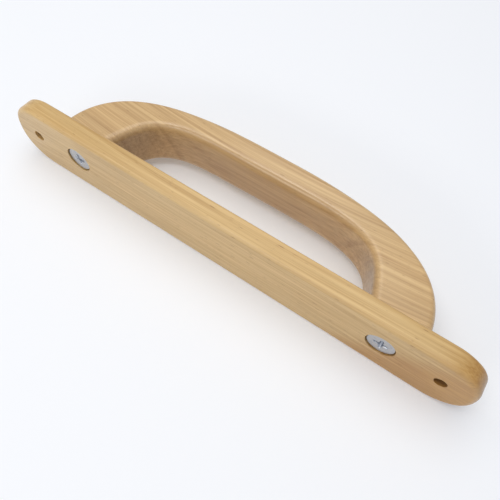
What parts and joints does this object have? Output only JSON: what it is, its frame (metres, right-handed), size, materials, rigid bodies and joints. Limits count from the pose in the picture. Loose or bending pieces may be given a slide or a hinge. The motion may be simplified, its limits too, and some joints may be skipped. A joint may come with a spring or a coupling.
{
  "type": "grab rail",
  "caption": "Small wooden grab rail: a D-shaped grip sawn from one board, screwed from behind to a flat round-ended backing plate with a countersunk mounting hole at each end",
  "frame": {"origin": "Middle of the backing plate's back face, the face that lies on the wall", "axes": "+X along the rail, +Y out from the wall towards the grip's bar, +Z across the plate, up as the rail stands on the plate's long edge"},
  "size_m": [0.199, 0.0425, 0.028],
  "materials": {
    "plate_wood": "satin lacquer over straight open-pored grain",
    "grip_wood": "satin lacquer over straight open-pored grain",
    "screw_steel": "bright zinc plating"
  },
  "bodies": {
    "root": {"base_plate": "plate_wood", "grip": "grip_wood", "assembly_screw_left": "screw_steel", "assembly_screw_right": "screw_steel"}
  },
  "joints": []
}
